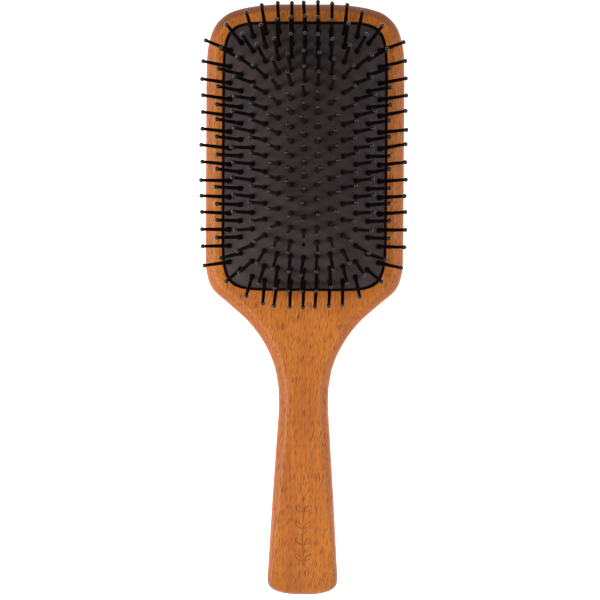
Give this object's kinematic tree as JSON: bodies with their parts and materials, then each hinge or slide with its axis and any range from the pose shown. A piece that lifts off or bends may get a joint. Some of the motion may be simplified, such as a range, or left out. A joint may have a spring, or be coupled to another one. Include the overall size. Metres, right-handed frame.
{
  "type": "paddle hairbrush",
  "caption": "Wooden paddle hairbrush with a wide head, a rubber air cushion and domed rows of ball-tipped nylon pins.",
  "frame": {"origin": "middle of the bounding box, at the flat back that the brush lies on", "axes": "+Z out of the cushion along the pins, +Y along the brush towards the head end"},
  "size_m": [0.0866, 0.254, 0.0443],
  "materials": {
    "wood": "lacquered orange-brown beech with fine ray flecks",
    "rubber": "matte dark grey-brown",
    "nylon": "polished near-black"
  },
  "bodies": {
    "body": {"wood_body": "wood", "air_cushion": "rubber"},
    "moving_pin_column_01_head": {"pin_column_01_head": "nylon"},
    "moving_pin_column_01_middle": {"pin_column_01_middle": "nylon"},
    "moving_pin_column_01_handle": {"pin_column_01_handle": "nylon"},
    "moving_pin_column_02_head": {"pin_column_02_head": "nylon"},
    "moving_pin_column_02_middle": {"pin_column_02_middle": "nylon"},
    "moving_pin_column_02_handle": {"pin_column_02_handle": "nylon"},
    "moving_pin_column_03_head": {"pin_column_03_head": "nylon"},
    "moving_pin_column_03_middle": {"pin_column_03_middle": "nylon"},
    "moving_pin_column_03_handle": {"pin_column_03_handle": "nylon"},
    "moving_pin_column_04_head": {"pin_column_04_head": "nylon"},
    "moving_pin_column_04_middle": {"pin_column_04_middle": "nylon"},
    "moving_pin_column_04_handle": {"pin_column_04_handle": "nylon"},
    "moving_pin_column_05_head": {"pin_column_05_head": "nylon"},
    "moving_pin_column_05_middle": {"pin_column_05_middle": "nylon"},
    "moving_pin_column_05_handle": {"pin_column_05_handle": "nylon"},
    "moving_pin_column_06_head": {"pin_column_06_head": "nylon"},
    "moving_pin_column_06_middle": {"pin_column_06_middle": "nylon"},
    "moving_pin_column_06_handle": {"pin_column_06_handle": "nylon"},
    "moving_pin_column_07_head": {"pin_column_07_head": "nylon"},
    "moving_pin_column_07_middle": {"pin_column_07_middle": "nylon"},
    "moving_pin_column_07_handle": {"pin_column_07_handle": "nylon"},
    "moving_pin_column_08_head": {"pin_column_08_head": "nylon"},
    "moving_pin_column_08_middle": {"pin_column_08_middle": "nylon"},
    "moving_pin_column_08_handle": {"pin_column_08_handle": "nylon"},
    "moving_pin_column_09_head": {"pin_column_09_head": "nylon"},
    "moving_pin_column_09_middle": {"pin_column_09_middle": "nylon"},
    "moving_pin_column_09_handle": {"pin_column_09_handle": "nylon"},
    "moving_pin_column_10_head": {"pin_column_10_head": "nylon"},
    "moving_pin_column_10_middle": {"pin_column_10_middle": "nylon"},
    "moving_pin_column_10_handle": {"pin_column_10_handle": "nylon"},
    "moving_pin_column_11_head": {"pin_column_11_head": "nylon"},
    "moving_pin_column_11_middle": {"pin_column_11_middle": "nylon"},
    "moving_pin_column_11_handle": {"pin_column_11_handle": "nylon"},
    "moving_pin_column_12_head": {"pin_column_12_head": "nylon"},
    "moving_pin_column_12_middle": {"pin_column_12_middle": "nylon"},
    "moving_pin_column_12_handle": {"pin_column_12_handle": "nylon"},
    "moving_pin_column_13_head": {"pin_column_13_head": "nylon"},
    "moving_pin_column_13_middle": {"pin_column_13_middle": "nylon"},
    "moving_pin_column_13_handle": {"pin_column_13_handle": "nylon"}
  },
  "joints": [
    {"name": "sink_01_head", "type": "hinge", "parent": "body", "child": "moving_pin_column_01_head", "pos_m": [-0.03581, 0.09257, 0.01545], "axis": [0.0063, 1, 0], "range_deg": [0, 9.99]},
    {"name": "sink_01_middle", "type": "hinge", "parent": "body", "child": "moving_pin_column_01_middle", "pos_m": [-0.03582, 0.0616, 0.01546], "axis": [0, 1, 0], "range_deg": [0, 10.01]},
    {"name": "sink_01_handle", "type": "hinge", "parent": "body", "child": "moving_pin_column_01_handle", "pos_m": [-0.0358, 0.03012, 0.01545], "axis": [-0.0075, 1, 0], "range_deg": [0, 9.99]},
    {"name": "sink_02_head", "type": "hinge", "parent": "body", "child": "moving_pin_column_02_head", "pos_m": [-0.03854, 0.09665, 0.01822], "axis": [0.0793, 0.9969, 0], "range_deg": [0, 8.63]},
    {"name": "sink_02_middle", "type": "hinge", "parent": "body", "child": "moving_pin_column_02_middle", "pos_m": [-0.03847, 0.0616, 0.01837], "axis": [0, 1, 0], "range_deg": [0, 8.98]},
    {"name": "sink_02_handle", "type": "hinge", "parent": "body", "child": "moving_pin_column_02_handle", "pos_m": [-0.03853, 0.02593, 0.0182], "axis": [-0.0886, 0.9961, 0], "range_deg": [0, 8.59]},
    {"name": "sink_03_head", "type": "hinge", "parent": "body", "child": "moving_pin_column_03_head", "pos_m": [-0.04201, 0.10739, 0.01998], "axis": [0.3925, 0.9197, 0], "range_deg": [0, 6.32]},
    {"name": "sink_03_middle", "type": "hinge", "parent": "body", "child": "moving_pin_column_03_middle", "pos_m": [-0.04274, 0.0616, 0.02073], "axis": [0, 1, 0], "range_deg": [0, 7.41]},
    {"name": "sink_03_handle", "type": "hinge", "parent": "body", "child": "moving_pin_column_03_handle", "pos_m": [-0.04147, 0.01433, 0.01988], "axis": [-0.4302, 0.9028, 0], "range_deg": [0, 6.28]},
    {"name": "sink_04_head", "type": "hinge", "parent": "body", "child": "moving_pin_column_04_head", "pos_m": [-0.04255, 0.12073, 0.02139], "axis": [0.6649, 0.7469, 0], "range_deg": [0, 4.86]},
    {"name": "sink_04_middle", "type": "hinge", "parent": "body", "child": "moving_pin_column_04_middle", "pos_m": [-0.0524, 0.0616, 0.02249], "axis": [0, 1, 0], "range_deg": [0, 5.38]},
    {"name": "sink_04_handle", "type": "hinge", "parent": "body", "child": "moving_pin_column_04_handle", "pos_m": [-0.04027, 0.00091, 0.02124], "axis": [-0.709, 0.7052, 0], "range_deg": [0, 4.94]},
    {"name": "sink_05_head", "type": "hinge", "parent": "body", "child": "moving_pin_column_05_head", "pos_m": [-0.02342, 0.13419, 0.02181], "axis": [0.9443, 0.329, 0], "range_deg": [0, 4.77]},
    {"name": "sink_05_middle", "type": "hinge", "parent": "body", "child": "moving_pin_column_05_middle", "pos_m": [-0.07984, 0.0616, 0.02362], "axis": [0, 1, 0], "range_deg": [0, 3.18]},
    {"name": "sink_05_handle", "type": "hinge", "parent": "body", "child": "moving_pin_column_05_handle", "pos_m": [-0.02104, -0.00975, 0.02161], "axis": [-0.9581, 0.2863, 0], "range_deg": [0, 5.03]},
    {"name": "sink_06_head", "type": "hinge", "parent": "body", "child": "moving_pin_column_06_head", "pos_m": [-0.00733, 0.1327, 0.02178], "axis": [0.9986, 0.0531, 0], "range_deg": [0, 5.42]},
    {"name": "sink_06_middle", "type": "slide", "parent": "body", "child": "moving_pin_column_06_middle", "axis": [0, 0, -1], "range_m": [0, 0.004]},
    {"name": "sink_06_handle", "type": "hinge", "parent": "body", "child": "moving_pin_column_06_handle", "pos_m": [-0.00685, -0.00785, 0.02154], "axis": [-0.9991, 0.0415, 0], "range_deg": [0, 5.7]},
    {"name": "sink_07_head", "type": "hinge", "parent": "body", "child": "moving_pin_column_07_head", "pos_m": [0, 0.13632, 0.02229], "axis": [1, 0, 0], "range_deg": [0, 4.93]},
    {"name": "cushion_press", "type": "slide", "parent": "body", "child": "moving_pin_column_07_middle", "axis": [0, 0, -1], "range_m": [0, 0.004], "stiffness_N_per_m": 600, "deforming": ["air_cushion"]},
    {"name": "sink_07_handle", "type": "hinge", "parent": "body", "child": "moving_pin_column_07_handle", "pos_m": [0, -0.01118, 0.02208], "axis": [-1, 0, 0], "range_deg": [0, 5.19]},
    {"name": "sink_08_head", "type": "hinge", "parent": "body", "child": "moving_pin_column_08_head", "pos_m": [0.00733, 0.1327, 0.02178], "axis": [0.9986, -0.0531, 0], "range_deg": [0, 5.42]},
    {"name": "sink_08_middle", "type": "slide", "parent": "body", "child": "moving_pin_column_08_middle", "axis": [0, 0, -1], "range_m": [0, 0.004]},
    {"name": "sink_08_handle", "type": "hinge", "parent": "body", "child": "moving_pin_column_08_handle", "pos_m": [0.00685, -0.00785, 0.02154], "axis": [-0.9991, -0.0415, 0], "range_deg": [0, 5.7]},
    {"name": "sink_09_head", "type": "hinge", "parent": "body", "child": "moving_pin_column_09_head", "pos_m": [0.02342, 0.13419, 0.02181], "axis": [0.9443, -0.329, 0], "range_deg": [0, 4.77]},
    {"name": "sink_09_middle", "type": "hinge", "parent": "body", "child": "moving_pin_column_09_middle", "pos_m": [0.07984, 0.0616, 0.02362], "axis": [0, -1, 0], "range_deg": [0, 3.18]},
    {"name": "sink_09_handle", "type": "hinge", "parent": "body", "child": "moving_pin_column_09_handle", "pos_m": [0.02104, -0.00975, 0.02161], "axis": [-0.9581, -0.2863, 0], "range_deg": [0, 5.03]},
    {"name": "sink_10_head", "type": "hinge", "parent": "body", "child": "moving_pin_column_10_head", "pos_m": [0.04255, 0.12073, 0.02139], "axis": [0.6649, -0.7469, 0], "range_deg": [0, 4.86]},
    {"name": "sink_10_middle", "type": "hinge", "parent": "body", "child": "moving_pin_column_10_middle", "pos_m": [0.0524, 0.0616, 0.02249], "axis": [0, -1, 0], "range_deg": [0, 5.38]},
    {"name": "sink_10_handle", "type": "hinge", "parent": "body", "child": "moving_pin_column_10_handle", "pos_m": [0.04027, 0.00091, 0.02124], "axis": [-0.709, -0.7052, 0], "range_deg": [0, 4.94]},
    {"name": "sink_11_head", "type": "hinge", "parent": "body", "child": "moving_pin_column_11_head", "pos_m": [0.04201, 0.10739, 0.01998], "axis": [0.3925, -0.9197, 0], "range_deg": [0, 6.32]},
    {"name": "sink_11_middle", "type": "hinge", "parent": "body", "child": "moving_pin_column_11_middle", "pos_m": [0.04274, 0.0616, 0.02073], "axis": [0, -1, 0], "range_deg": [0, 7.41]},
    {"name": "sink_11_handle", "type": "hinge", "parent": "body", "child": "moving_pin_column_11_handle", "pos_m": [0.04147, 0.01433, 0.01988], "axis": [-0.4302, -0.9028, 0], "range_deg": [0, 6.28]},
    {"name": "sink_12_head", "type": "hinge", "parent": "body", "child": "moving_pin_column_12_head", "pos_m": [0.03854, 0.09665, 0.01822], "axis": [0.0793, -0.9969, 0], "range_deg": [0, 8.63]},
    {"name": "sink_12_middle", "type": "hinge", "parent": "body", "child": "moving_pin_column_12_middle", "pos_m": [0.03847, 0.0616, 0.01837], "axis": [0, -1, 0], "range_deg": [0, 8.98]},
    {"name": "sink_12_handle", "type": "hinge", "parent": "body", "child": "moving_pin_column_12_handle", "pos_m": [0.03853, 0.02593, 0.0182], "axis": [-0.0886, -0.9961, 0], "range_deg": [0, 8.59]},
    {"name": "sink_13_head", "type": "hinge", "parent": "body", "child": "moving_pin_column_13_head", "pos_m": [0.03581, 0.09257, 0.01545], "axis": [0.0063, -1, 0], "range_deg": [0, 9.99]},
    {"name": "sink_13_middle", "type": "hinge", "parent": "body", "child": "moving_pin_column_13_middle", "pos_m": [0.03582, 0.0616, 0.01546], "axis": [0, -1, 0], "range_deg": [0, 10.01]},
    {"name": "sink_13_handle", "type": "hinge", "parent": "body", "child": "moving_pin_column_13_handle", "pos_m": [0.0358, 0.03012, 0.01545], "axis": [-0.0075, -1, 0], "range_deg": [0, 9.99]}
  ],
  "couplings": [
    {"joint": "sink_01_head", "follows": "cushion_press", "rad_per_m": 43.374},
    {"joint": "sink_01_middle", "follows": "cushion_press", "rad_per_m": 43.471},
    {"joint": "sink_01_handle", "follows": "cushion_press", "rad_per_m": 43.354},
    {"joint": "sink_02_head", "follows": "cushion_press", "rad_per_m": 37.437},
    {"joint": "sink_02_middle", "follows": "cushion_press", "rad_per_m": 38.974},
    {"joint": "sink_02_handle", "follows": "cushion_press", "rad_per_m": 37.262},
    {"joint": "sink_03_head", "follows": "cushion_press", "rad_per_m": 27.367},
    {"joint": "sink_03_middle", "follows": "cushion_press", "rad_per_m": 32.097},
    {"joint": "sink_03_handle", "follows": "cushion_press", "rad_per_m": 27.185},
    {"joint": "sink_04_head", "follows": "cushion_press", "rad_per_m": 20.994},
    {"joint": "sink_04_middle", "follows": "cushion_press", "rad_per_m": 23.242},
    {"joint": "sink_04_handle", "follows": "cushion_press", "rad_per_m": 21.339},
    {"joint": "sink_05_head", "follows": "cushion_press", "rad_per_m": 20.612},
    {"joint": "sink_05_middle", "follows": "cushion_press", "rad_per_m": 13.637},
    {"joint": "sink_05_handle", "follows": "cushion_press", "rad_per_m": 21.718},
    {"joint": "sink_06_head", "follows": "cushion_press", "rad_per_m": 23.425},
    {"joint": "sink_06_middle", "follows": "cushion_press", "ratio": 0.9883},
    {"joint": "sink_06_handle", "follows": "cushion_press", "rad_per_m": 24.647},
    {"joint": "sink_07_head", "follows": "cushion_press", "rad_per_m": 21.314},
    {"joint": "sink_07_handle", "follows": "cushion_press", "rad_per_m": 22.437},
    {"joint": "sink_08_head", "follows": "cushion_press", "rad_per_m": 23.425},
    {"joint": "sink_08_middle", "follows": "cushion_press", "ratio": 0.9883},
    {"joint": "sink_08_handle", "follows": "cushion_press", "rad_per_m": 24.647},
    {"joint": "sink_09_head", "follows": "cushion_press", "rad_per_m": 20.612},
    {"joint": "sink_09_middle", "follows": "cushion_press", "rad_per_m": 13.637},
    {"joint": "sink_09_handle", "follows": "cushion_press", "rad_per_m": 21.718},
    {"joint": "sink_10_head", "follows": "cushion_press", "rad_per_m": 20.994},
    {"joint": "sink_10_middle", "follows": "cushion_press", "rad_per_m": 23.242},
    {"joint": "sink_10_handle", "follows": "cushion_press", "rad_per_m": 21.339},
    {"joint": "sink_11_head", "follows": "cushion_press", "rad_per_m": 27.367},
    {"joint": "sink_11_middle", "follows": "cushion_press", "rad_per_m": 32.097},
    {"joint": "sink_11_handle", "follows": "cushion_press", "rad_per_m": 27.185},
    {"joint": "sink_12_head", "follows": "cushion_press", "rad_per_m": 37.437},
    {"joint": "sink_12_middle", "follows": "cushion_press", "rad_per_m": 38.974},
    {"joint": "sink_12_handle", "follows": "cushion_press", "rad_per_m": 37.262},
    {"joint": "sink_13_head", "follows": "cushion_press", "rad_per_m": 43.374},
    {"joint": "sink_13_middle", "follows": "cushion_press", "rad_per_m": 43.471},
    {"joint": "sink_13_handle", "follows": "cushion_press", "rad_per_m": 43.354}
  ]
}
